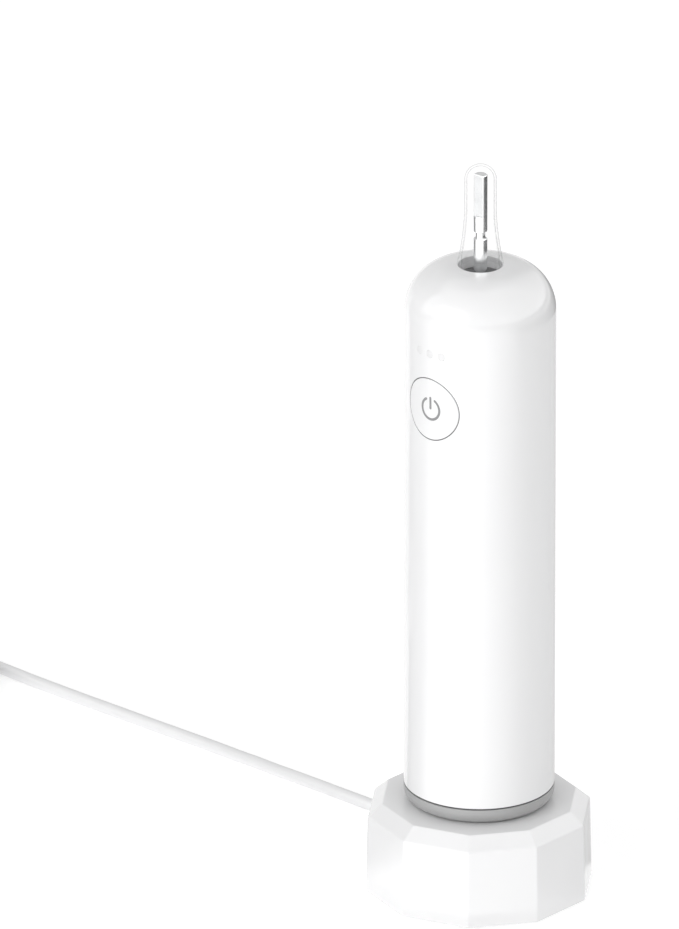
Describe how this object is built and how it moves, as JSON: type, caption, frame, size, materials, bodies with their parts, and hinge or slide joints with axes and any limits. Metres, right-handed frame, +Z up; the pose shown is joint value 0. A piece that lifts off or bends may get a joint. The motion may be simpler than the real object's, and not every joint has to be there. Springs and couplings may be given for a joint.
{
  "type": "electric toothbrush on charger",
  "caption": "Cylindrical sonic toothbrush handle with a clear cap over its drive shaft, standing on a ten-sided pin-contact charging base with a USB lead.",
  "frame": {"origin": "centre of the base's footprint at the underside of its rubber foot, on the surface it stands on", "axes": "+Z up along the handle, -Y towards the power button's side, -X towards the lead's outlet"},
  "size_m": [0.261, 0.0572, 0.1704],
  "materials": {
    "white_gloss": "glossy white moulded casing",
    "white_satin": "satin white moulded casing of the base",
    "grey_cap": "satin grey end cap",
    "dark_rubber": "dark grey rubber",
    "soft_grey": "grey silicone ring",
    "print_grey": "grey inlaid symbol",
    "clear_plastic": "thin clear plastic",
    "window": "translucent white light window",
    "steel": "bright turned steel",
    "dark_steel": "laminated and sintered dark metal",
    "zinc": "zinc-plated steel",
    "gold": "gold-plated contact",
    "copper": "enamelled copper winding",
    "board": "green circuit board",
    "black_plastic": "black moulded component",
    "frame_grey": "grey inner frame",
    "cell_wrap": "shrink wrap of the battery cell",
    "lead_white": "white lead jacket",
    "wire_red": "insulated wire",
    "slot_grey": "light grey insulator"
  },
  "bodies": {
    "charger": {"charger_cover": "white_satin", "base_plate": "white_satin", "foot_pad": "dark_rubber", "base_screws": "zinc", "ballast_plate": "dark_steel", "charger_board": "board", "charger_chips": "black_plastic", "pin_housing": "slot_grey", "pin_barrels": "gold", "pin_spring_1": "steel", "pin_spring_2": "steel", "pin_spring_3": "steel", "base_magnets": "zinc", "cord_grommet": "lead_white", "lead_wires": "wire_red", "cord": "lead_white", "cord_coil": "lead_white", "cord_tie": "lead_white", "plug_grip": "white_satin", "plug_shell": "steel", "plug_tongue": "black_plastic"},
    "contact_pin_1": {"contact_pin_1": "gold"},
    "contact_pin_2": {"contact_pin_2": "gold"},
    "contact_pin_3": {"contact_pin_3": "gold"},
    "handle": {"end_cap": "grey_cap", "end_cap_seal": "dark_rubber", "contact_block": "black_plastic", "contact_plates": "gold", "contact_leads": "gold", "handle_magnets": "zinc", "handle_shell": "white_gloss", "chassis": "frame_grey", "chassis_screws": "zinc", "battery_cell": "cell_wrap", "battery_tabs": "zinc", "handle_board": "board", "handle_chips": "black_plastic", "tact_switch": "black_plastic", "indicator_leds": "window", "light_guide": "clear_plastic", "light_windows": "window", "button_gasket": "soft_grey", "motor_can": "zinc", "motor_base": "frame_grey", "motor_dampers": "dark_rubber", "stator_yoke": "dark_steel", "coil_windings": "copper", "centring_spring": "steel", "upper_bearing": "gold", "lower_bearing": "gold", "shaft_seal": "dark_rubber", "seal_retainer": "frame_grey"},
    "button": {"power_button": "white_gloss", "power_symbol": "print_grey", "switch_plunger": "black_plastic"},
    "drive": {"drive_shaft": "steel", "rotor_core": "dark_steel", "rotor_magnets": "dark_steel"},
    "cap": {"shaft_cap": "clear_plastic"}
  },
  "joints": [
    {"name": "handle_lift", "type": "slide", "parent": "charger", "child": "handle", "axis": [0, 0, 1], "range_m": [0, 0.03]},
    {"name": "cap_lift", "type": "slide", "parent": "handle", "child": "cap", "axis": [0, 0, 1], "range_m": [0, 0.045]},
    {"name": "button_press", "type": "slide", "parent": "handle", "child": "button", "axis": [0, 1, 0], "range_m": [0, 0.0005], "stiffness_N_per_m": 2000, "springref_m": -0.0002},
    {"name": "shaft_swing", "type": "hinge", "parent": "handle", "child": "drive", "pos_m": [0, 0, 0.14705], "axis": [0, 0, 1], "range_deg": [-5, 5], "stiffness_Nm_per_rad": 0.2},
    {"name": "pin_1_press", "type": "slide", "parent": "charger", "child": "contact_pin_1", "axis": [0, 0, -1], "range_m": [0, 0.0008], "stiffness_N_per_m": 600, "springref_m": -0.0004, "deforming": ["pin_spring_1"]},
    {"name": "pin_2_press", "type": "slide", "parent": "charger", "child": "contact_pin_2", "axis": [0, 0, -1], "range_m": [0, 0.0008], "stiffness_N_per_m": 600, "springref_m": -0.0004, "deforming": ["pin_spring_2"]},
    {"name": "pin_3_press", "type": "slide", "parent": "charger", "child": "contact_pin_3", "axis": [0, 0, -1], "range_m": [0, 0.0008], "stiffness_N_per_m": 600, "springref_m": -0.0004, "deforming": ["pin_spring_3"]}
  ]
}
